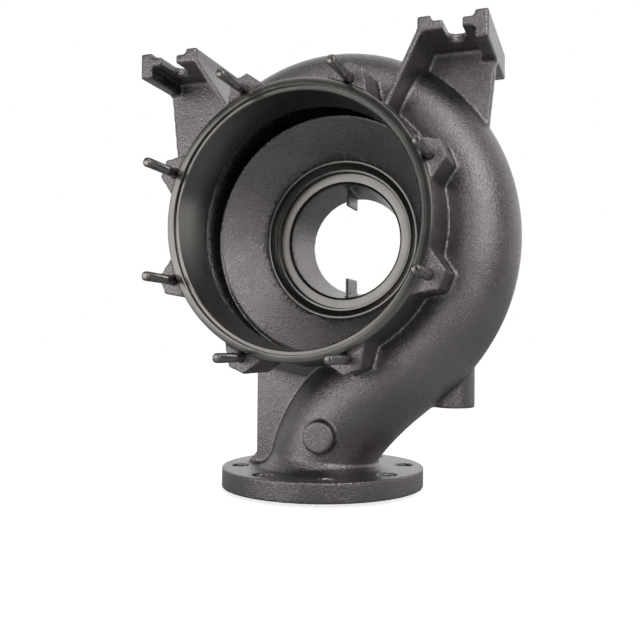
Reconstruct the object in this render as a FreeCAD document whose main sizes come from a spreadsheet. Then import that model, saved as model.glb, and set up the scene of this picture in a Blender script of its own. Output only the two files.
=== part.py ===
"""Volute casing of an end-suction pump, standing on its discharge flange with its feet up.

Frame, in millimetres: the origin is the centre of the discharge flange's raised face, +Z runs up
along the discharge axis, the shaft axis is parallel to Y at x = 0 and +Y points to the suction side.
"""
import FreeCAD
import Part
import Sketcher

import math
import os

FILE_FOLDER = "parts"

SIZES = {
    # main distances
    "shaft_height": 280.0,          # discharge face to shaft axis
    "foot_height": 195.0,           # shaft axis to the soles of the feet
    "cover_face": 95.0,             # volute centre plane to the cover ring's face
    "suction_face": 125.0,          # volute centre plane to the suction flange's raised face
    # discharge flange
    "discharge_bore": 100.0,
    "discharge_flange_dia": 220.0,
    "discharge_flange_thick": 24.0,
    "discharge_raised_dia": 156.0,
    "discharge_bolt_circle": 180.0,
    "discharge_bolt_holes": 8.0,
    "discharge_hub_dia": 124.0,
    "discharge_hub_height": 18.0,
    "discharge_hub_flare": 8.0,
    "discharge_hub_step": 4.0,
    "discharge_mouth_depth": 12.0,  # straight bore behind the discharge face
    "raised_face": 3.0,
    "bolt_hole_dia": 19.0,
    # suction flange and passage
    "suction_bore": 119.0,
    "suction_flange_dia": 250.0,
    "suction_flange_thick": 26.0,
    "suction_raised_dia": 184.0,
    "suction_bolt_circle": 210.0,
    "suction_bolt_holes": 8.0,
    "suction_wall": 11.0,
    # cover ring and bore
    "ring_land_width": 7.7,
    "ring_step_width": 4.3,
    "ring_step_depth": 3.0,
    "cover_bore_dia": 260.0,
    "cover_bore_wall": 15.5,        # metal round the bore where the drum starts
    "bore_end": 30.0,               # volute centre plane to the end of the cover bore
    "bore_end_flare": 4.0,
    # cover studs and their bosses
    "stud_set_out": 6.5,            # ring's edge to the studs' centre circle
    "stud_count": 8.0,
    "stud_dia": 10.0,
    "stud_reach": 52.0,             # boss face to stud tip
    "stud_hold": 20.0,
    "stud_hold_dia": 9.0,           # screwed-in end and its hole, at mid thread
    "stud_hole_spare": 4.0,
    "stud_tip_chamfer": 1.5,
    "boss_set_back": 5.0,           # ring face to boss face
    "boss_length": 62.0,
    "boss_root": 6.0,               # how far a boss reaches into the ring
    "boss_set_out": 21.0,           # ring's edge to the bosses' outer faces
    "boss_inner_width": 46.0,
    "boss_outer_width": 19.0,
    # volute
    "volute_throat": 84.8,
    "volute_wall": 8.0,
    "volute_growth": 0.8,           # section radius grows with this power of the wrap angle
    "tongue_angle": 310.0,          # where the spiral would start from nothing
    "skin_start_angle": 260.0,
    "passage_start_angle": 268.0,
    "throat_angle": -50.0,
    "chamber_step": 8.0,            # cover bore out to the chamber's wall
    "chamber_wall": 7.5,
    "volute_lap": 8.0,              # how far the volute's sections reach into the chamber
    "chamber_lip": 3.0,
    "neck_outer_dia": 114.0,
    "neck_lead": 52.0,              # how far the neck runs on along the spiral's tangent
    "neck_rise": 70.0,              # how far the neck keeps to the discharge axis
    # suction side wall and wear ring seat
    "cone_rim_step": 3.7,           # chamber wall in to the cone's rim
    "cone_rim": 20.0,
    "seat_rim": 51.0,
    "seat_rim_dia": 183.0,
    "seat_lip_depth": 6.0,
    "seat_lip_dia": 166.0,
    "seat_groove_width": 1.5,
    "seat_groove_dia": 170.0,
    "seat_dia": 162.0,
    "seat_floor": 65.0,
    "eye_dia": 137.0,
    "eye_chamfer": 2.0,
    "drum_back": 30.0,
    "band_wall": 20.0,              # the thick band round the chamber where the spiral starts
    "band_width": 30.0,
    "band_flare": 7.0,
    "cone_wall": 9.0,
    # anti-swirl ribs in the suction passage
    "swirl_rib_thick": 3.0,
    "swirl_rib_front": 75.0,
    "swirl_rib_back": 114.0,
    "swirl_rib_gap": 86.0,          # between the two ribs' free edges
    # feet
    "foot_spread": 311.0,           # between the two slots' centre lines
    "foot_width": 69.0,
    "foot_front": 75.5,
    "foot_length": 124.5,
    "foot_rail_width": 13.5,
    "foot_rail_depth": 28.0,
    "foot_relief": 5.5,
    "foot_plate": 10.0,
    "foot_slot_width": 19.0,
    "foot_slot_reach": 38.5,
    "foot_web": 6.5,
    "right_web_lean": 25.9,
    "left_web_lean": 34.6,
    "foot_web_drop": 11.5,          # sole to the web's upper end
    "foot_web_foot": 90.0,          # shaft axis up to the web's lower end
    "cross_rib_front": 13.6,
    "cross_rib_thick": 10.0,
    "cross_rib_drop": 99.0,         # soles to the cross rib's outer corner
    "cross_rib_reach": 181.0,       # shaft axis to that corner
    "cross_rib_foot": 20.0,         # shaft axis up to the cross rib's lower end
    "cross_rib_inner": 105.0,
    "cross_rib_outer": 166.0,
    # web and bosses at the discharge neck
    "neck_web_edge": 74.5,
    "neck_web_inner": 45.0,
    "neck_web_flare": 12.0,
    "neck_web_rise": 27.0,          # how far the web runs up behind the cover ring
    "gauge_boss_dia": 33.0,
    "gauge_boss_height": 62.0,
    "gauge_boss_offset": 18.5,
    "gauge_boss_face": 68.0,
    "gauge_boss_hold": 2.0,         # how far the boss stays clear of the flow
    "vent_boss_dia": 46.0,
    "vent_boss_offset": 140.0,
    "vent_boss_back": 20.0,
    "vent_boss_height": 91.0,
    "vent_hole_dia": 18.0,
    "vent_hole_depth": 24.0,
}

# radii of the cover opening, each from the one inside it
STEP_EDGE = "cover_bore_dia / 2 + ring_step_width"
RING_EDGE = STEP_EDGE + " + ring_land_width"
STUD_LINE = RING_EDGE + " + stud_set_out"
CHAMBER_EDGE = "cover_bore_dia / 2 + chamber_step"

SPIRAL_STEP = 24.0                  # degrees between the volute's sections
NECK_SECTIONS = 5
NECK_SWELL = 1.6                    # the neck has its full diameter after this inverse share
OVER = 1.0                          # how far a cut runs past a face, or a form into its carrier

document = FreeCAD.newDocument("volute_pump_casing")
sheet = document.addObject("Spreadsheet::Sheet", "sizes")


def fill_sheet():
    for row, (alias, value) in enumerate(SIZES.items(), start=1):
        sheet.set("A%d" % row, alias)
        sheet.set("B%d" % row, str(value))
        sheet.setAlias("B%d" % row, alias)
    document.recompute()


def size(alias):
    return float(getattr(sheet, alias))


def cell(formula):
    """Puts the sheet's name before every alias in a formula."""
    words = []
    for word in formula.split():
        words.append("sizes." + word if word in SIZES else word)
    return " ".join(words)


def origin_plane(body, role):
    for feature in body.Origin.OriginFeatures:
        if feature.Role == role:
            return feature


def new_sketch(body, name, role, turned=0.0, **offset):
    """A sketch on one of the body's origin planes, its origin moved by formulas x, y and z."""
    sketch = body.newObject("Sketcher::SketchObject", name)
    sketch.AttachmentSupport = [(origin_plane(body, role), "")]
    sketch.MapMode = "FlatFace"
    spin = FreeCAD.Rotation(FreeCAD.Vector(0, 0, 1), turned)
    sketch.AttachmentOffset = FreeCAD.Placement(FreeCAD.Vector(), spin)
    for axis, formula in offset.items():
        sketch.setExpression("AttachmentOffset.Base." + axis, cell(formula))
    return sketch


def draw_outline(sketch, corners):
    """A closed outline of straight lines whose corners are pairs of formulas."""
    count = len(corners)
    spots = []
    for index in range(count):
        turn = math.tau * index / count
        spots.append(FreeCAD.Vector(50 * math.cos(turn), 50 * math.sin(turn), 0))
    for index in range(count):
        sketch.addGeometry(Part.LineSegment(spots[index], spots[(index + 1) % count]), False)
    for index in range(count):
        following = (index + 1) % count
        sketch.addConstraint(Sketcher.Constraint("Coincident", index, 2, following, 1))
    for index, pair in enumerate(corners):
        for kind, formula in zip(("DistanceX", "DistanceY"), pair):
            number = sketch.addConstraint(Sketcher.Constraint(kind, -1, 1, index, 1, 10.0))
            sketch.setExpression("Constraints[%d]" % number, cell(formula))


def draw_circle(sketch, across, along, diameter):
    sketch.addGeometry(Part.Circle(FreeCAD.Vector(20, 20, 0), FreeCAD.Vector(0, 0, 1), 5.0), False)
    for kind, formula in (("DistanceX", across), ("DistanceY", along)):
        number = sketch.addConstraint(Sketcher.Constraint(kind, -1, 1, 0, 3, 10.0))
        sketch.setExpression("Constraints[%d]" % number, cell(formula))
    number = sketch.addConstraint(Sketcher.Constraint("Diameter", 0, 10.0))
    sketch.setExpression("Constraints[%d]" % number, cell(diameter))


def new_body(name):
    return document.addObject("PartDesign::Body", name)


def revolve(body, sketch, name):
    feature = body.newObject("PartDesign::Revolution", name)
    feature.Profile = sketch
    feature.ReferenceAxis = (sketch, ["H_Axis"])
    feature.Angle = 360.0
    sketch.Visibility = False
    return feature


def pad(body, sketch, name, length, backwards=False):
    feature = body.newObject("PartDesign::Pad", name)
    feature.Profile = sketch
    feature.setExpression("Length", cell(length))
    feature.Reversed = backwards
    return feature


def drill(body, sketch, name, length, backwards=False):
    document.recompute()
    before = body.Shape.Volume
    feature = body.newObject("PartDesign::Pocket", name)
    feature.Profile = sketch
    feature.setExpression("Length", cell(length))
    feature.Reversed = backwards
    document.recompute()
    if body.Shape.Volume > before - 1.0:
        raise ValueError(name + " cuts nothing")
    return feature


def ring_of(body, feature, axis_sketch, name, count):
    pattern = body.newObject("PartDesign::PolarPattern", name)
    pattern.Originals = [feature]
    pattern.Axis = (axis_sketch, ["N_Axis"])
    pattern.Angle = 360.0
    pattern.setExpression("Occurrences", cell(count))
    body.Tip = pattern
    document.recompute()
    return pattern


# ---------------------------------------------------------------- revolved forms on the shaft axis

def shaft_sketch(body, name):
    """A sketch in the plane x = 0 whose own x axis is the shaft axis."""
    return new_sketch(body, name, "YZ_Plane", y="shaft_height")


def face_sketch(body, name, plane_formula, turned=0.0):
    """A sketch square to the shaft axis and centred on it; plane_formula is its place along Y."""
    return new_sketch(body, name, "XZ_Plane", turned, y="shaft_height", z="- ( " + plane_formula + " )")


def drum():
    """The cover ring, drum, suction cone, suction neck and flange, with bosses and bolt holes."""
    body = new_body("drum")
    outline = shaft_sketch(body, "drum_outline")
    flange_back = "suction_face - suction_flange_thick"
    neck = "suction_bore / 2 + suction_wall"
    wall = CHAMBER_EDGE + " + chamber_wall"
    band = CHAMBER_EDGE + " + band_wall"
    draw_outline(outline, [
        ("- cover_face", "0"),
        ("- cover_face", RING_EDGE),
        ("- bore_end - volute_wall", "cover_bore_dia / 2 + cover_bore_wall"),
        ("- band_width / 2 - band_flare", wall),
        ("- band_width / 2", band),
        ("band_width / 2", band),
        ("band_width / 2 + band_flare", wall),
        ("drum_back", wall),
        ("seat_rim + cone_wall", "seat_rim_dia / 2 + cone_wall"),
        ("seat_floor + cone_wall", "seat_dia / 2 + cone_wall"),
        (flange_back + " - cone_wall / 2", neck),
        (flange_back, neck + " + cone_wall / 2"),
        (flange_back, "suction_flange_dia / 2"),
        ("suction_face - raised_face", "suction_flange_dia / 2"),
        ("suction_face - raised_face", "suction_raised_dia / 2"),
        ("suction_face", "suction_raised_dia / 2"),
        ("suction_face", "0"),
    ])
    revolve(body, outline, "drum_turned")

    boss_face = "- cover_face + boss_set_back"
    boss = face_sketch(body, "boss_outline", boss_face, 180.0 / size("stud_count"))
    draw_outline(boss, [
        (RING_EDGE + " - boss_root", "- boss_inner_width / 2"),
        (RING_EDGE, "- boss_inner_width / 2"),
        (RING_EDGE + " + boss_set_out", "- boss_outer_width / 2"),
        (RING_EDGE + " + boss_set_out", "boss_outer_width / 2"),
        (RING_EDGE, "boss_inner_width / 2"),
        (RING_EDGE + " - boss_root", "boss_inner_width / 2"),
    ])
    first_boss = pad(body, boss, "stud_boss", "boss_length", True)
    document.recompute()
    ring_of(body, first_boss, boss, "stud_bosses", "stud_count")

    hole = face_sketch(body, "stud_hole_outline", boss_face, 180.0 / size("stud_count"))
    draw_circle(hole, STUD_LINE, "0", "stud_hold_dia")
    first_hole = drill(body, hole, "stud_hole", "stud_hold + stud_hole_spare")
    ring_of(body, first_hole, hole, "stud_holes", "stud_count")

    bolt = face_sketch(body, "suction_bolt_outline", "suction_face", 180.0 / size("suction_bolt_holes"))
    draw_circle(bolt, "suction_bolt_circle / 2", "0", "bolt_hole_dia")
    first_bolt = drill(body, bolt, "suction_bolt_hole", "suction_flange_thick + %g" % OVER, True)
    ring_of(body, first_bolt, bolt, "suction_bolt_holes", "suction_bolt_holes")
    return body


def chamber():
    """The machined bore, the impeller chamber, the wear ring seat and the suction passage."""
    body = new_body("chamber")
    outline = shaft_sketch(body, "chamber_outline")
    front = "- cover_face - %g" % OVER
    back = "suction_face + %g" % OVER
    step = "- cover_face + ring_step_depth"
    groove = "seat_rim + seat_lip_depth"
    draw_outline(outline, [
        (front, "0"),
        (front, STEP_EDGE),
        (step, STEP_EDGE),
        (step, "cover_bore_dia / 2"),
        ("- bore_end - bore_end_flare", "cover_bore_dia / 2"),
        ("- bore_end", CHAMBER_EDGE),
        ("cone_rim - chamber_lip", CHAMBER_EDGE),
        ("cone_rim", CHAMBER_EDGE + " - cone_rim_step"),
        ("seat_rim", "seat_rim_dia / 2"),
        (groove, "seat_lip_dia / 2"),
        (groove, "seat_groove_dia / 2"),
        (groove + " + seat_groove_width", "seat_groove_dia / 2"),
        (groove + " + seat_groove_width", "seat_dia / 2"),
        ("seat_floor", "seat_dia / 2"),
        ("seat_floor", "eye_dia / 2 + eye_chamfer"),
        ("seat_floor + eye_chamfer", "eye_dia / 2"),
        (back, "suction_bore / 2"),
        (back, "0"),
    ])
    revolve(body, outline, "chamber_turned")
    return body


# ---------------------------------------------------------------- the volute's spiral and its neck

def spiral_radius(angle):
    """Inside radius of the volute's round section at an angle about the shaft, in degrees."""
    wrap = (size("tongue_angle") - angle) / (size("tongue_angle") - size("throat_angle"))
    return size("volute_throat") / 2 * wrap ** size("volute_growth")


def spiral_section(angle):
    """Centre, travel direction and inside radius of one section of the spiral."""
    turn = math.radians(angle)
    inside = spiral_radius(angle)
    reach = size("cover_bore_dia") / 2 + size("chamber_step") - size("volute_lap") + inside
    centre = FreeCAD.Vector(reach * math.cos(turn), 0, size("shaft_height") + reach * math.sin(turn))
    travel = FreeCAD.Vector(math.sin(turn), 0, -math.cos(turn))
    return centre, travel, inside


def neck_section(share):
    """One section of the neck, a cubic curve from the throat to the discharge mouth."""
    start, travel, inside = spiral_section(size("throat_angle"))
    second = start + travel * size("neck_lead")
    end = FreeCAD.Vector(0, 0, size("discharge_mouth_depth"))
    third = end + FreeCAD.Vector(0, 0, size("neck_rise"))
    rest = 1.0 - share
    centre = start * rest ** 3 + second * 3 * rest ** 2 * share
    centre += third * 3 * rest * share ** 2 + end * share ** 3
    along = (second - start) * rest ** 2 + (third - second) * 2 * rest * share
    along += (end - third) * share ** 2
    return centre, along.normalize(), inside


def section_list(first):
    """Every section from an angle near the tongue to the discharge, with inside and outside radii."""
    sections = []
    spiral_count = int(math.ceil((first - size("throat_angle")) / SPIRAL_STEP))
    for step in range(spiral_count + 1):
        angle = first + (size("throat_angle") - first) * step / spiral_count
        centre, travel, inside = spiral_section(angle)
        sections.append((centre, travel, inside, inside + size("volute_wall")))
    for step in range(1, NECK_SECTIONS + 1):
        share = step / NECK_SECTIONS
        centre, travel, inside = neck_section(share)
        bore = inside + (size("discharge_bore") / 2 - inside) * share
        rise = min(1.0, NECK_SWELL * share)
        skin = inside + size("volute_wall")
        skin += (size("neck_outer_dia") / 2 - skin) * rise ** 2 * (3 - 2 * rise)
        sections.append((centre, travel, bore, skin))
    return sections


def spiral_loft(name, first, which):
    """A loft through round sections; which picks the inside or the outside radius."""
    circles = []
    for number, section in enumerate(section_list(size(first))):
        circle = document.addObject("Part::Circle", "%s_section_%d" % (name, number + 1))
        circle.Radius = section[which]
        spin = FreeCAD.Rotation(FreeCAD.Vector(0, 1, 0), FreeCAD.Vector(), section[1], "ZXY")
        circle.Placement = FreeCAD.Placement(section[0], spin)
        circles.append(circle)
    loft = document.addObject("Part::Loft", name)
    loft.Sections = circles
    loft.Solid = True
    return loft


# ---------------------------------------------------------------- discharge flange, web and bosses

def discharge_flange():
    body = new_body("discharge_flange")
    outline = new_sketch(body, "flange_outline", "XZ_Plane", 90.0)
    hub_top = "discharge_flange_thick + discharge_hub_height"
    draw_outline(outline, [
        ("0", "0"),
        ("0", "- discharge_raised_dia / 2"),
        ("raised_face", "- discharge_raised_dia / 2"),
        ("raised_face", "- discharge_flange_dia / 2"),
        ("discharge_flange_thick", "- discharge_flange_dia / 2"),
        ("discharge_flange_thick", "- discharge_hub_dia / 2 - discharge_hub_flare"),
        ("discharge_flange_thick + discharge_hub_step", "- discharge_hub_dia / 2"),
        (hub_top, "- neck_outer_dia / 2 + discharge_hub_step"),
        (hub_top, "0"),
    ])
    revolve(body, outline, "flange_turned")
    document.recompute()
    bolt = new_sketch(body, "discharge_bolt_outline", "XY_Plane", 180.0 / size("discharge_bolt_holes"))
    draw_circle(bolt, "discharge_bolt_circle / 2", "0", "bolt_hole_dia")
    first = drill(body, bolt, "discharge_bolt_hole", "discharge_flange_thick + %g" % OVER, True)
    ring_of(body, first, bolt, "discharge_bolt_holes", "discharge_bolt_holes")
    return body


def cross_plate(name, corners):
    """A rib square to the shaft axis, in the plane of the feet's cross ribs."""
    body = new_body(name)
    outline = new_sketch(body, name + "_outline", "XZ_Plane", z="cross_rib_front")
    draw_outline(outline, corners)
    pad(body, outline, name + "_pad", "cross_rib_thick", True)
    return body


def neck_web():
    """The stiffening web between the discharge flange and the start of the spiral."""
    bottom = "discharge_flange_thick - %g" % OVER
    top = "shaft_height - ( " + RING_EDGE + " ) + neck_web_rise"
    return cross_plate("neck_web", [
        ("neck_web_inner", bottom),
        ("- neck_web_edge - neck_web_flare", bottom),
        ("- neck_web_edge", "discharge_flange_thick + neck_web_flare"),
        ("- neck_web_edge", top),
        ("neck_web_inner", top),
    ])


def gauge_boss():
    """The undrilled pad for a gauge connection on the front of the neck."""
    boss = document.addObject("Part::Cylinder", "gauge_boss")
    boss.setExpression("Radius", cell("gauge_boss_dia / 2"))
    boss.setExpression("Height", cell("gauge_boss_face - discharge_bore / 2 - gauge_boss_hold"))
    boss.Placement.Rotation = FreeCAD.Rotation(FreeCAD.Vector(1, 0, 0), -90)
    boss.setExpression("Placement.Base.x", cell("gauge_boss_offset"))
    boss.setExpression("Placement.Base.y", cell("- gauge_boss_face"))
    boss.setExpression("Placement.Base.z", cell("gauge_boss_height"))
    return boss


def vent_boss():
    """The upright boss beside the neck, at the spiral's high point when the pump is in service."""
    boss = document.addObject("Part::Cylinder", "vent_boss")
    boss.setExpression("Radius", cell("vent_boss_dia / 2"))
    boss.setExpression("Height", cell("shaft_height - vent_boss_height - cover_bore_dia / 2"))
    boss.setExpression("Placement.Base.x", cell("vent_boss_offset"))
    boss.setExpression("Placement.Base.y", cell("vent_boss_back"))
    boss.setExpression("Placement.Base.z", cell("vent_boss_height"))
    return boss


def vent_hole():
    hole = document.addObject("Part::Cylinder", "vent_hole")
    hole.setExpression("Radius", cell("vent_hole_dia / 2"))
    hole.setExpression("Height", cell("vent_hole_depth + %g" % OVER))
    hole.setExpression("Placement.Base.x", cell("vent_boss_offset"))
    hole.setExpression("Placement.Base.y", cell("vent_boss_back"))
    hole.setExpression("Placement.Base.z", cell("vent_boss_height - %g" % OVER))
    return hole


# ---------------------------------------------------------------- feet

def foot(name, side):
    """One foot; side is 1 on the +X side and -1 on the other."""
    sole = "( shaft_height + foot_height )"
    middle = "foot_spread / 2"
    outer = "( " + middle + " + foot_width / 2 )"
    inner = "( " + middle + " - foot_width / 2 )"
    underside = sole + " - foot_relief - foot_plate"

    def across(formula):
        return formula if side > 0 else "- ( " + formula + " )"

    body = new_body(name)
    section = new_sketch(body, name + "_section", "XZ_Plane", z="foot_front")
    draw_outline(section, [
        (across(outer), sole),
        (across(outer), sole + " - foot_rail_depth"),
        (across(outer + " - foot_rail_width"), sole + " - foot_rail_depth"),
        (across(outer + " - foot_rail_width"), underside),
        (across(inner), underside),
        (across(inner), sole),
        (across(inner + " + foot_rail_width"), sole),
        (across(inner + " + foot_rail_width"), sole + " - foot_relief"),
        (across(outer + " - foot_rail_width"), sole + " - foot_relief"),
        (across(outer + " - foot_rail_width"), sole),
    ])
    pad(body, section, name + "_pad", "foot_length", True)
    document.recompute()

    mouth = "- foot_front - %g" % OVER
    reach = "- foot_front + foot_slot_reach - foot_slot_width / 2"
    depth = "foot_relief + foot_plate + %g" % OVER
    slot = new_sketch(body, name + "_slot_outline", "XY_Plane", z=sole)
    draw_outline(slot, [
        (across(middle + " - foot_slot_width / 2"), mouth),
        (across(middle + " + foot_slot_width / 2"), mouth),
        (across(middle + " + foot_slot_width / 2"), reach),
        (across(middle + " - foot_slot_width / 2"), reach),
    ])
    drill(body, slot, name + "_slot", depth)
    end = new_sketch(body, name + "_slot_end_outline", "XY_Plane", z=sole)
    draw_circle(end, across(middle), reach, "foot_slot_width")
    drill(body, end, name + "_slot_end", depth)
    return body


def foot_web(name, side, lean):
    """The leaning web under a foot's inner rail, along the whole foot."""
    body = new_body(name)
    outline = new_sketch(body, name + "_outline", "XZ_Plane", z="foot_front")
    top = "( shaft_height + foot_height - foot_web_drop )"
    drop = "( foot_height - foot_web_drop - foot_web_foot )"
    inner = "( foot_spread / 2 - foot_width / 2 )"
    run = drop + " * tan( " + lean + " )"

    def across(formula):
        return formula if side > 0 else "- ( " + formula + " )"

    draw_outline(outline, [
        (across(inner), top),
        (across(inner + " + foot_web"), top),
        (across(inner + " + foot_web - " + run), top + " - " + drop),
        (across(inner + " - " + run), top + " - " + drop),
    ])
    pad(body, outline, name + "_pad", "foot_length", True)
    return body


def cross_rib(name, side):
    """The rib that ties a foot's rails to the volute; the +X volute is the wider one."""
    def across(formula):
        return formula if side > 0 else "- ( " + formula + " )"

    underside = "shaft_height + foot_height - foot_relief - foot_plate + %g" % OVER
    corner = "shaft_height + foot_height - cross_rib_drop"
    bottom = "shaft_height + cross_rib_foot"
    corners = [
        (across("foot_spread / 2 - foot_width / 2"), underside),
        (across("foot_spread / 2 + foot_width / 2"), underside),
        (across("cross_rib_reach"), corner),
        (across("cross_rib_outer"), bottom),
        (across("cross_rib_inner"), bottom),
    ]
    return cross_plate(name, corners)


def above_the_soles():
    """Everything above the soles, so that the volute's crown stays flush with them."""
    space = document.addObject("Part::Box", "above_the_soles")
    space.setExpression("Length", cell("foot_width * 2"))
    space.setExpression("Width", cell("foot_width * 2"))
    space.setExpression("Height", cell("foot_width"))
    space.setExpression("Placement.Base.x", cell("- foot_width"))
    space.setExpression("Placement.Base.y", cell("- foot_width"))
    space.setExpression("Placement.Base.z", cell("shaft_height + foot_height"))
    return space


def swirl_rib(name, side):
    """One of the two thin ribs that stop the flow from turning in the suction passage."""
    rib = document.addObject("Part::Box", name)
    rib.setExpression("Length", cell("swirl_rib_thick"))
    rib.setExpression("Width", cell("swirl_rib_back - swirl_rib_front"))
    rib.setExpression("Height", cell("( eye_dia - swirl_rib_gap ) / 2 - %g" % OVER))
    rib.setExpression("Placement.Base.x", cell("- swirl_rib_thick / 2"))
    rib.setExpression("Placement.Base.y", cell("swirl_rib_front"))
    bottom = "shaft_height - eye_dia / 2 + %g" % OVER
    if side > 0:
        bottom = "shaft_height + swirl_rib_gap / 2"
    rib.setExpression("Placement.Base.z", cell(bottom))
    return rib


def discharge_mouth():
    """The straight bore at the discharge flange's face."""
    mouth = document.addObject("Part::Cylinder", "discharge_mouth")
    mouth.setExpression("Radius", cell("discharge_bore / 2"))
    mouth.setExpression("Height", cell("discharge_mouth_depth + %g" % OVER))
    mouth.Placement.Base = FreeCAD.Vector(0, 0, -OVER)
    return mouth


# ---------------------------------------------------------------- the casting and its studs

def casing():
    skin = [drum(), spiral_loft("volute_skin", "skin_start_angle", 3), discharge_flange()]
    skin += [neck_web(), gauge_boss(), vent_boss()]
    for word, side in (("right", 1), ("left", -1)):
        skin.append(foot(word + "_foot", side))
        skin.append(foot_web(word + "_foot_web", side, word + "_web_lean"))
        skin.append(cross_rib(word + "_cross_rib", side))
    outside = document.addObject("Part::MultiFuse", "casting_outside")
    outside.Shapes = skin

    inside = document.addObject("Part::MultiFuse", "cut_away")
    passage = spiral_loft("volute_passage", "passage_start_angle", 2)
    inside.Shapes = [above_the_soles(), chamber(), passage, vent_hole(), discharge_mouth()]

    metal = document.addObject("Part::Cut", "casting_metal")
    metal.Base = outside
    metal.Tool = inside

    whole = document.addObject("Part::MultiFuse", "volute_casing")
    whole.Shapes = [metal, swirl_rib("upper_swirl_rib", 1), swirl_rib("lower_swirl_rib", -1)]
    whole.Label = "volute_casing"
    return whole


def cover_stud(number):
    """One stud, screwed into its boss; the nodes are numbered anticlockwise from the +X side."""
    body = new_body("cover_stud_%d" % number)
    outline = new_sketch(body, "stud_outline_%d" % number, "YZ_Plane")
    face = "- cover_face + boss_set_back"
    tip = face + " - stud_reach"
    draw_outline(outline, [
        (tip, "0"),
        (tip, "stud_dia / 2 - stud_tip_chamfer"),
        (tip + " + stud_tip_chamfer", "stud_dia / 2"),
        (face, "stud_dia / 2"),
        (face, "stud_hold_dia / 2"),
        (face + " + stud_hold", "stud_hold_dia / 2"),
        (face + " + stud_hold", "0"),
    ])
    revolve(body, outline, "stud_turned_%d" % number)
    turn = math.radians((number - 0.5) * 360.0 / size("stud_count"))
    across = "( " + STUD_LINE + " ) * cos( %.9f )" % math.degrees(turn)
    body.setExpression("Placement.Base.x", cell(across))
    height = "shaft_height + ( " + STUD_LINE + " ) * sin( %.9f )" % math.degrees(turn)
    body.setExpression("Placement.Base.z", cell(height))
    body.Label = "cover_stud_%d" % number
    return body


def main():
    fill_sheet()
    nodes = [casing()]
    for number in range(1, int(size("stud_count")) + 1):
        nodes.append(cover_stud(number))
    document.recompute()
    for thing in document.Objects:
        if "Invalid" in thing.State or "Error" in thing.State:
            raise ValueError(thing.Name + " failed: " + str(thing.State))
    for node in nodes:
        if node.Shape.isNull() or not node.Shape.isValid():
            raise ValueError(node.Label + " has no valid shape")
    os.makedirs(FILE_FOLDER, exist_ok=True)
    for node in nodes:
        node.Shape.exportStep(os.path.join(FILE_FOLDER, node.Label + ".step"))
        box = node.Shape.BoundBox
        print(node.Label, len(node.Shape.Solids), round(node.Shape.Volume), box)


main()
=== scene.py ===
"""Look of the volute pump casing: cast iron skin, machined faces, studs, studio and camera."""

import math

import bmesh
import bpy
import numpy as np
from mathutils import Matrix, Vector, noise


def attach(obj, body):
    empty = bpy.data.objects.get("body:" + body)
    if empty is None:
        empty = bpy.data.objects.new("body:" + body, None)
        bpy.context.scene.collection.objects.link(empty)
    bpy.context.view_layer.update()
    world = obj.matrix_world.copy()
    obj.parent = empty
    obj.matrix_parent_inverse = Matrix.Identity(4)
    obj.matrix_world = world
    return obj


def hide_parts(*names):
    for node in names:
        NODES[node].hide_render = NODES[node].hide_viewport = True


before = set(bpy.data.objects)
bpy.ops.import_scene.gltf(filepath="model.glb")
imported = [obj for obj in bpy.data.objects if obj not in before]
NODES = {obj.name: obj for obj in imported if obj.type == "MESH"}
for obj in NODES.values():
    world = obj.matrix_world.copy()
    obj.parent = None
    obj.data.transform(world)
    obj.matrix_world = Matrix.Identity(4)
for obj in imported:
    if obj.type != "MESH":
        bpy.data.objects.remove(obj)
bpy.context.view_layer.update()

MM = 0.001

# main sizes, in metres, the same as in the part's source
SHAFT_HEIGHT = 0.280
COVER_FACE = -0.095
RING_OUTER_R = 0.142
STEP_R = 0.1343
STEP_FLOOR = -0.092
BORE_R = 0.130
BORE_END = -0.030
SEAT_RIM = 0.051
SEAT_RIM_R = 0.0915
SEAT_LIP_R = 0.0835
SEAT_GROOVE_R = 0.0850
SEAT_R = 0.081
SEAT_FLOOR = 0.065
EYE_R = 0.0685
STUD_CIRCLE_R = 0.1485
STUD_R = 0.005
STUD_COUNT = 8
STUD_TIP = -0.142
STUD_ROOT = -0.070
STUD_SIDES = 24
THREAD_PITCH = 1.5 * MM
THREAD_DEPTH = 0.75 * MM
THREAD_LENGTH = 38 * MM
THREAD_ROWS = 5                 # rings of points for each pitch
THREAD_FADE = 3 * MM            # run-out of the thread

# the cast skin
VOXEL = 0.0018
FILLET_R = 0.0036
EDGE_R = 0.0012
SKIN_TRIANGLES = 190000
INSET = 0.0006                  # the skin keeps this far under a machined piece
ROUNDS = 26
WAVER_SCALE = 45.0
WAVER_HEIGHT = 0.00006
SEAT_SINK = 2 * MM
SEAT_SPREAD = 1.2 * MM


# the studio
WORLD_DIM = 0.03                # in front of the casing
WORLD_BRIGHT = 1.0              # behind it
WORLD_RAMP = (-0.20, 0.45)      # where along Y the world turns from dim to bright
FLOOR_REACH = 6.0
FLOOR_DROP = 0.0005
FLOOR_GREY = 0.45
FLOOR_GLOW = 0.80
SOFTBOX_DISTANCE = 1.8
SOFTBOX_AIM = Vector((0, 0, 0.26))

# the camera, from the view fitted to the flange, the ring and the silhouette
CAMERA_PLACE = (0.2944, -0.7879, 0.1574)
CAMERA_TURNS = ((19.28, "Z"), (91.015, "X"), (0.48, "Z"))
CAMERA_LENS = 42.75
CAMERA_SENSOR = 36.0
CAMERA_SHIFT = (-0.0315, 0.0163)


# ---------------------------------------------------------------- mesh helpers

def add_piece(name, mesh, smooth_angle=None):
    piece = bpy.data.objects.new(name, mesh)
    bpy.context.collection.objects.link(piece)
    if smooth_angle is not None:
        mesh.polygons.foreach_set("use_smooth", [True] * len(mesh.polygons))
        mesh.set_sharp_from_angle(angle=math.radians(smooth_angle))
    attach(piece, "root")
    return piece


def world_copy(name, node):
    """A new mesh with the node's shape, in world coordinates."""
    mesh = node.data.copy()
    mesh.name = name
    mesh.transform(node.matrix_world)
    return mesh


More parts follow.
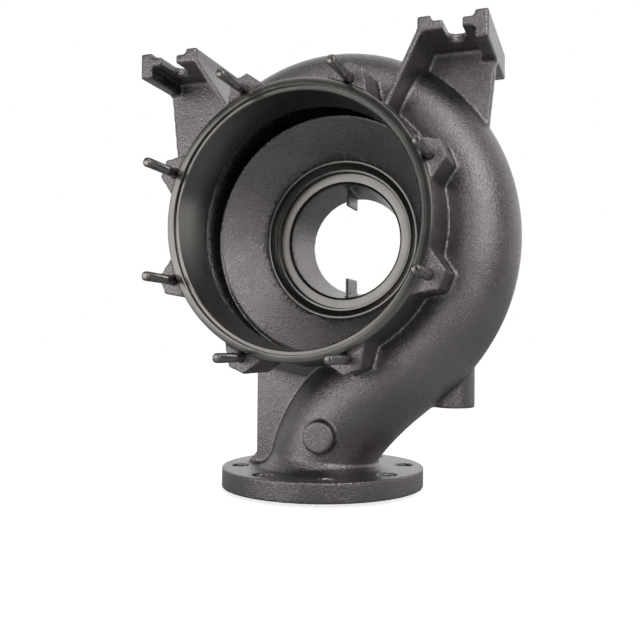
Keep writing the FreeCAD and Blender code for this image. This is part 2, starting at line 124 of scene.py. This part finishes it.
def with_modifier(mesh, kind, **settings):
    """The mesh after one modifier, as a new mesh."""
    holder = bpy.data.objects.new("holder", mesh)
    bpy.context.collection.objects.link(holder)
    modifier = holder.modifiers.new(kind, kind)
    for name, value in settings.items():
        setattr(modifier, name, value)
    graph = bpy.context.evaluated_depsgraph_get()
    made = bpy.data.meshes.new_from_object(holder.evaluated_get(graph))
    bpy.data.objects.remove(holder)
    bpy.data.meshes.remove(mesh)
    return made


def points_of(mesh):
    points = np.empty(len(mesh.vertices) * 3)
    mesh.vertices.foreach_get("co", points)
    return points.reshape(-1, 3)


def normals_of(mesh):
    normals = np.empty(len(mesh.vertices) * 3)
    mesh.vertices.foreach_get("normal", normals)
    return normals.reshape(-1, 3)


def set_points(mesh, points):
    mesh.vertices.foreach_set("co", points.ravel())
    mesh.update()


class Neighbours:
    """Averages over each vertex's neighbours."""

    def __init__(self, mesh):
        edges = np.empty(len(mesh.edges) * 2, dtype=np.int64)
        mesh.edges.foreach_get("vertices", edges)
        edges = edges.reshape(-1, 2)
        self.start = np.concatenate((edges[:, 0], edges[:, 1]))
        self.end = np.concatenate((edges[:, 1], edges[:, 0]))
        self.number = len(mesh.vertices)
        self.count = np.maximum(np.bincount(self.start, minlength=self.number), 1)

    def average(self, points):
        columns = []
        for axis in range(points.shape[1]):
            total = np.bincount(self.start, weights=points[self.end, axis], minlength=self.number)
            columns.append(total / self.count)
        return np.stack(columns, axis=1)


def round_off(mesh, rounds, spacing):
    """Fills hollow corners to the fillet radius and rounds edges to the edge radius."""
    near = Neighbours(mesh)
    hollow = spacing ** 2 / (4 * FILLET_R)
    edge = spacing ** 2 / (4 * EDGE_R)
    points = points_of(mesh)
    for _ in range(rounds):
        set_points(mesh, points)
        normals = normals_of(mesh)
        lean = ((near.average(points) - points) * normals).sum(axis=1)
        move = np.where(lean > hollow, lean - hollow, 0.0) + np.where(lean < -edge, lean + edge, 0.0)
        points = points + 0.5 * move[:, None] * normals
    for _ in range(3):
        points = points + 0.5 * (near.average(points) - points)
        points = points - 0.52 * (near.average(points) - points)
    set_points(mesh, points)


def lathe(name, outline, segments):
    """A closed ring round the shaft axis from an outline of radius and place along the shaft."""
    made = bmesh.new()
    rings = []
    for step in range(segments):
        turn = math.tau * step / segments
        ring = []
        for radius, along in outline:
            x = radius * math.cos(turn)
            z = SHAFT_HEIGHT + radius * math.sin(turn)
            ring.append(made.verts.new((x, along, z)))
        rings.append(ring)
    count = len(outline)
    for step in range(segments):
        here, following = rings[step], rings[(step + 1) % segments]
        for index in range(count):
            after = (index + 1) % count
            made.faces.new((here[index], here[after], following[after], following[index]))
    bmesh.ops.recalc_face_normals(made, faces=made.faces)
    mesh = bpy.data.meshes.new(name)
    made.to_mesh(mesh)
    made.free()
    return mesh


# ---------------------------------------------------------------- the cast skin

def shaft_radius(points):
    return np.hypot(points[:, 0], points[:, 2] - SHAFT_HEIGHT)


def clear_machined(points):
    """Moves the skin back where a machined piece lies over it."""
    radius = shaft_radius(points)
    wanted = radius.copy()
    along = points[:, 1].copy()
    front = along < BORE_END - INSET
    in_bore = front & (radius < BORE_R + INSET)
    wanted[in_bore] = BORE_R + INSET
    on_ring = (radius < RING_OUTER_R - INSET) & (along < COVER_FACE + 4 * MM)
    points[on_ring, 1] = np.maximum(along[on_ring], STEP_FLOOR + INSET)
    across_seat = (radius > EYE_R - 0.5 * MM) & (radius < SEAT_RIM_R + MM)
    in_seat = across_seat & (along > SEAT_RIM - 0.8 * MM) & (along < SEAT_FLOOR + 3 * MM)
    points[in_seat, 1] += SEAT_SINK
    wanted[in_seat] += SEAT_SPREAD
    scale = wanted / np.maximum(radius, 1e-6)
    points[:, 0] *= scale
    points[:, 2] = SHAFT_HEIGHT + (points[:, 2] - SHAFT_HEIGHT) * scale


def waver(points, normals):
    """Slight unevenness of a sand casting."""
    push = np.empty(len(points))
    for index, place in enumerate(points):
        spot = Vector(place)
        push[index] = noise.noise(spot * WAVER_SCALE) * WAVER_HEIGHT
    return points + push[:, None] * normals


def cast_skin():
    spacing = VOXEL
    mesh = world_copy("cast_skin", NODES["volute_casing"])
    mesh = with_modifier(mesh, "REMESH", mode="VOXEL", voxel_size=spacing, use_smooth_shade=True)
    round_off(mesh, ROUNDS, spacing)
    points = points_of(mesh)
    clear_machined(points)
    set_points(mesh, waver(points, normals_of(mesh)))
    triangles = 2 * len(mesh.polygons)
    if triangles > SKIN_TRIANGLES:
        mesh = with_modifier(mesh, "DECIMATE", ratio=SKIN_TRIANGLES / triangles)
    mesh.polygons.foreach_set("use_smooth", [True] * len(mesh.polygons))
    mesh = with_modifier(mesh, "WEIGHTED_NORMAL", weight=80, keep_sharp=False)
    skin = add_piece("cast_skin", mesh)
    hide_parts("volute_casing")
    return skin


def arc(centre, radius, start, end, steps):
    """Points of an arc in the plane of an outline, angles in degrees."""
    places = []
    for step in range(steps + 1):
        turn = math.radians(start + (end - start) * step / steps)
        places.append((centre[0] + radius * math.cos(turn), centre[1] + radius * math.sin(turn)))
    return places


def cover_ring():
    """The machined face, step and bore of the cover opening, as one closed ring."""
    bevel = 0.6 * MM
    outline = [
        (RING_OUTER_R, COVER_FACE + 1.2 * MM),
        (RING_OUTER_R - bevel, COVER_FACE + bevel * 0.4),
        (RING_OUTER_R - 2 * bevel, COVER_FACE),
        (STEP_R + bevel, COVER_FACE),
        (STEP_R, COVER_FACE + bevel),
        (STEP_R, STEP_FLOOR),
        (BORE_R + 1.6 * bevel, STEP_FLOOR),
        (BORE_R, STEP_FLOOR + 1.6 * bevel),
    ]
    outline += arc((BORE_R + 6 * MM, BORE_END - 6.5 * MM), 6 * MM, 180, 90, 6)
    outline += [
        (BORE_R + 8.2 * MM, BORE_END - 2 * MM),
        (BORE_R + 4 * MM, BORE_END - 12 * MM),
        (BORE_R + 4 * MM, COVER_FACE + 12 * MM),
        (RING_OUTER_R - 3 * MM, COVER_FACE + 6 * MM),
    ]
    return add_piece("cover_ring", lathe("cover_ring", outline, 192), 28)


def seat_ring():
    """The machined wear ring seat with its rounded lip, groove and eye edge, as one closed ring."""
    outline = [(SEAT_RIM_R + 3 * MM, SEAT_RIM + 1.5 * MM), (SEAT_RIM_R + 1.2 * MM, SEAT_RIM - 0.3 * MM)]
    outline += arc((SEAT_RIM_R, SEAT_RIM + 2.2 * MM), 2.6 * MM, 270, 205, 5)
    outline += [
        (SEAT_LIP_R, SEAT_RIM + 6.0 * MM),
        (SEAT_GROOVE_R, SEAT_RIM + 6.2 * MM),
        (SEAT_GROOVE_R, SEAT_RIM + 7.3 * MM),
        (SEAT_R + 0.3 * MM, SEAT_RIM + 7.3 * MM),
        (SEAT_R, SEAT_RIM + 7.6 * MM),
        (SEAT_R, SEAT_FLOOR - 0.8 * MM),
        (SEAT_R - 0.8 * MM, SEAT_FLOOR),
        (EYE_R + 2.4 * MM, SEAT_FLOOR),
        (EYE_R + 2.0 * MM, SEAT_FLOOR + 0.1 * MM),
        (EYE_R + 0.2 * MM, SEAT_FLOOR + 1.8 * MM),
        (EYE_R - 0.4 * MM, SEAT_FLOOR + 2.6 * MM),
        (EYE_R + 3.0 * MM, SEAT_FLOOR + 5.0 * MM),
        (SEAT_R + 3.0 * MM, SEAT_FLOOR + 4.0 * MM),
    ]
    return add_piece("seat_ring", lathe("seat_ring", outline, 160), 28)


# ---------------------------------------------------------------- studs

def stud(number):
    """One stud with a cut thread on its outer end."""
    turn = math.radians((number - 0.5) * 360 / STUD_COUNT)
    centre = (STUD_CIRCLE_R * math.cos(turn), SHAFT_HEIGHT + STUD_CIRCLE_R * math.sin(turn))
    made = bmesh.new()

    def ring(along, radii):
        verts = []
        for step in range(STUD_SIDES):
            angle = math.tau * step / STUD_SIDES
            x = centre[0] + radii[step] * math.cos(angle)
            z = centre[1] + radii[step] * math.sin(angle)
            verts.append(made.verts.new((x, along, z)))
        return verts

    rows = [ring(STUD_TIP, [STUD_R - 2.2 * MM] * STUD_SIDES)]
    count = int(THREAD_LENGTH / THREAD_PITCH * THREAD_ROWS)
    for step in range(count + 1):
        along = STUD_TIP + 0.4 * MM + THREAD_LENGTH * step / count
        from_tip = along - STUD_TIP
        top = min(STUD_R, STUD_R - 1.6 * MM + from_tip)
        fade = min(1.0, max(0.0, (THREAD_LENGTH - from_tip) / THREAD_FADE))
        radii = []
        for index in range(STUD_SIDES):
            phase = (along / THREAD_PITCH + index / STUD_SIDES) % 1.0
            cut = abs(2 * phase - 1)
            radii.append(min(top, STUD_R - THREAD_DEPTH * fade * (1 - cut)))
        rows.append(ring(along, radii))
    for along in (STUD_TIP + THREAD_LENGTH + 1.2 * MM, STUD_ROOT):
        rows.append(ring(along, [STUD_R] * STUD_SIDES))
    for here, following in zip(rows, rows[1:]):
        for index in range(STUD_SIDES):
            after = (index + 1) % STUD_SIDES
            made.faces.new((here[index], here[after], following[after], following[index]))
    made.faces.new(rows[0])
    made.faces.new(list(reversed(rows[-1])))
    bmesh.ops.recalc_face_normals(made, faces=made.faces)
    mesh = bpy.data.meshes.new("stud_%d" % number)
    made.to_mesh(mesh)
    made.free()
    piece = add_piece("stud_%d" % number, mesh, 50)
    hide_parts("cover_stud_%d" % number)
    return piece


# ---------------------------------------------------------------- materials

def new_material(name):
    material = bpy.data.materials.new(name)
    material.use_nodes = True
    tree = material.node_tree
    shader = tree.nodes["Principled BSDF"]
    place = tree.nodes.new("ShaderNodeTexCoord")
    return material, tree, shader, place.outputs["Object"]


def noise_node(tree, place, scale, detail=3.0, roughness=0.55):
    node = tree.nodes.new("ShaderNodeTexNoise")
    node.inputs["Scale"].default_value = scale
    node.inputs["Detail"].default_value = detail
    node.inputs["Roughness"].default_value = roughness
    tree.links.new(place, node.inputs["Vector"])
    return node.outputs["Fac"]


def ramp_node(tree, value, stops):
    node = tree.nodes.new("ShaderNodeValToRGB")
    marks = node.color_ramp.elements
    while len(marks) < len(stops):
        marks.new(0.5)
    for mark, (spot, colour) in zip(marks, stops):
        mark.position = spot
        mark.color = (*colour, 1)
    tree.links.new(value, node.inputs["Fac"])
    return node.outputs["Color"]


def range_node(tree, value, low, high, start=0.0, end=1.0):
    node = tree.nodes.new("ShaderNodeMapRange")
    node.inputs["From Min"].default_value = start
    node.inputs["From Max"].default_value = end
    node.inputs["To Min"].default_value = low
    node.inputs["To Max"].default_value = high
    tree.links.new(value, node.inputs["Value"])
    return node.outputs["Result"]


def bump_node(tree, height, distance, strength, below=None):
    node = tree.nodes.new("ShaderNodeBump")
    node.inputs["Distance"].default_value = distance
    node.inputs["Strength"].default_value = strength
    tree.links.new(height, node.inputs["Height"])
    if below is not None:
        tree.links.new(below, node.inputs["Normal"])
    return node.outputs["Normal"]


def cast_material():
    material, tree, shader, place = new_material("cast_body")
    grain = noise_node(tree, place, 620.0, 2.0, 0.6)
    sand = noise_node(tree, place, 260.0, 3.0, 0.6)
    cloud = noise_node(tree, place, 14.0, 4.0, 0.6)
    colour = ramp_node(tree, cloud, [(0.30, (0.195, 0.182, 0.180)), (0.70, (0.255, 0.236, 0.238))])
    tree.links.new(colour, shader.inputs["Base Color"])
    shader.inputs["Metallic"].default_value = 1.0
    tree.links.new(range_node(tree, grain, 0.20, 0.42, 0.25, 0.75), shader.inputs["Roughness"])
    normal = bump_node(tree, sand, 0.0006, 0.45)
    normal = bump_node(tree, grain, 0.0009, 0.75, normal)
    tree.links.new(normal, shader.inputs["Normal"])
    return material


def machined_material():
    material, tree, shader, place = new_material("machined_iron")
    cloud = noise_node(tree, place, 30.0, 3.0, 0.5)
    colour = ramp_node(tree, cloud, [(0.3, (0.16, 0.155, 0.150)), (0.7, (0.21, 0.20, 0.185))])
    tree.links.new(colour, shader.inputs["Base Color"])
    shader.inputs["Metallic"].default_value = 1.0
    tree.links.new(range_node(tree, cloud, 0.22, 0.30), shader.inputs["Roughness"])
    fine = noise_node(tree, place, 900.0, 2.0, 0.5)
    tree.links.new(bump_node(tree, fine, 0.0001, 0.15), shader.inputs["Normal"])
    return material


def stud_material():
    material, tree, shader, place = new_material("stud_steel")
    cloud = noise_node(tree, place, 120.0, 3.0, 0.6)
    colour = ramp_node(tree, cloud, [(0.3, (0.16, 0.15, 0.145)), (0.7, (0.26, 0.25, 0.24))])
    tree.links.new(colour, shader.inputs["Base Color"])
    shader.inputs["Metallic"].default_value = 1.0
    tree.links.new(range_node(tree, cloud, 0.22, 0.36), shader.inputs["Roughness"])
    return material


def coat(piece, material):
    piece.data.materials.clear()
    piece.data.materials.append(material)


# ---------------------------------------------------------------- studio

def seen_directly(tree):
    """1 where the camera looks straight at a surface or at the world."""
    return tree.nodes.new("ShaderNodeLightPath").outputs["Is Camera Ray"]


def light_world():
    world = bpy.data.worlds.new("studio")
    bpy.context.scene.world = world
    world.use_nodes = True
    tree = world.node_tree
    back = tree.nodes["Background"]
    back.inputs["Color"].default_value = (1, 1, 1, 1)
    coordinates = tree.nodes.new("ShaderNodeTexCoord")
    split = tree.nodes.new("ShaderNodeSeparateXYZ")
    tree.links.new(coordinates.outputs["Generated"], split.inputs[0])
    strength = range_node(tree, split.outputs["Y"], WORLD_DIM, WORLD_BRIGHT, *WORLD_RAMP)
    tree.links.new(strength, back.inputs["Strength"])
    seen = tree.nodes.new("ShaderNodeBackground")
    seen.inputs["Color"].default_value = (1, 1, 1, 1)
    seen.inputs["Strength"].default_value = 1.0
    mix = tree.nodes.new("ShaderNodeMixShader")
    tree.links.new(seen_directly(tree), mix.inputs[0])
    tree.links.new(back.outputs[0], mix.inputs[1])
    tree.links.new(seen.outputs[0], mix.inputs[2])
    tree.links.new(mix.outputs[0], tree.nodes["World Output"].inputs["Surface"])


def make_floor():
    mesh = bpy.data.meshes.new("floor")
    reach = FLOOR_REACH
    corners = [(-reach, -reach, 0), (reach, -reach, 0), (reach, reach, 0), (-reach, reach, 0)]
    mesh.from_pydata(corners, [], [(0, 1, 2, 3)])
    floor = bpy.data.objects.new("floor", mesh)
    bpy.context.collection.objects.link(floor)
    floor.location.z = -FLOOR_DROP
    material = bpy.data.materials.new("floor")
    material.use_nodes = True
    tree = material.node_tree
    shader = tree.nodes["Principled BSDF"]
    shader.inputs["Base Color"].default_value = (FLOOR_GREY, FLOOR_GREY, FLOOR_GREY, 1)
    shader.inputs["Roughness"].default_value = 0.9
    glow = tree.nodes.new("ShaderNodeEmission")
    glow.inputs["Strength"].default_value = FLOOR_GLOW
    both = tree.nodes.new("ShaderNodeAddShader")
    tree.links.new(shader.outputs[0], both.inputs[0])
    tree.links.new(glow.outputs[0], both.inputs[1])
    mix = tree.nodes.new("ShaderNodeMixShader")
    tree.links.new(seen_directly(tree), mix.inputs[0])
    tree.links.new(shader.outputs[0], mix.inputs[1])
    tree.links.new(both.outputs[0], mix.inputs[2])
    tree.links.new(mix.outputs[0], tree.nodes["Material Output"].inputs["Surface"])
    mesh.materials.append(material)


def softbox(name, azimuth, elevation, size, glow):
    """A rectangular softbox aimed at the casing. Angles in degrees, azimuth 0 in front."""
    data = bpy.data.lights.new(name, "AREA")
    data.shape = "RECTANGLE"
    data.size, data.size_y = size
    data.energy = glow * math.pi * size[0] * size[1]
    lamp = bpy.data.objects.new(name, data)
    bpy.context.collection.objects.link(lamp)
    turn, lift = math.radians(azimuth), math.radians(elevation)
    flat = math.cos(lift)
    away = Vector((flat * math.sin(turn), -flat * math.cos(turn), math.sin(lift)))
    lamp.location = SOFTBOX_AIM + away * SOFTBOX_DISTANCE
    lamp.rotation_euler = (-away).to_track_quat("-Z", "Y").to_euler()
    return lamp


def make_camera():
    data = bpy.data.cameras.new("camera")
    data.lens = CAMERA_LENS
    data.sensor_width = CAMERA_SENSOR
    data.shift_x, data.shift_y = CAMERA_SHIFT
    camera = bpy.data.objects.new("camera", data)
    bpy.context.collection.objects.link(camera)
    placed = Matrix.Translation(CAMERA_PLACE)
    for angle, axis in CAMERA_TURNS:
        placed = placed @ Matrix.Rotation(math.radians(angle), 4, axis)
    camera.matrix_world = placed
    bpy.context.scene.camera = camera


make_camera()
cast_iron = cast_material()
machined_iron = machined_material()
stud_steel = stud_material()
coat(cast_skin(), cast_iron)
coat(cover_ring(), machined_iron)
coat(seat_ring(), machined_iron)
for stud_number in range(1, STUD_COUNT + 1):
    coat(stud(stud_number), stud_steel)
light_world()
make_floor()
softbox("left_softbox", -36, 7, (1.6, 0.9), 2.3)
softbox("right_softbox", 40, 27, (1.3, 1.4), 2.5)
softbox("top_softbox", -5, 50, (1.9, 0.6), 1.6)
bpy.context.scene.view_settings.view_transform = "Standard"
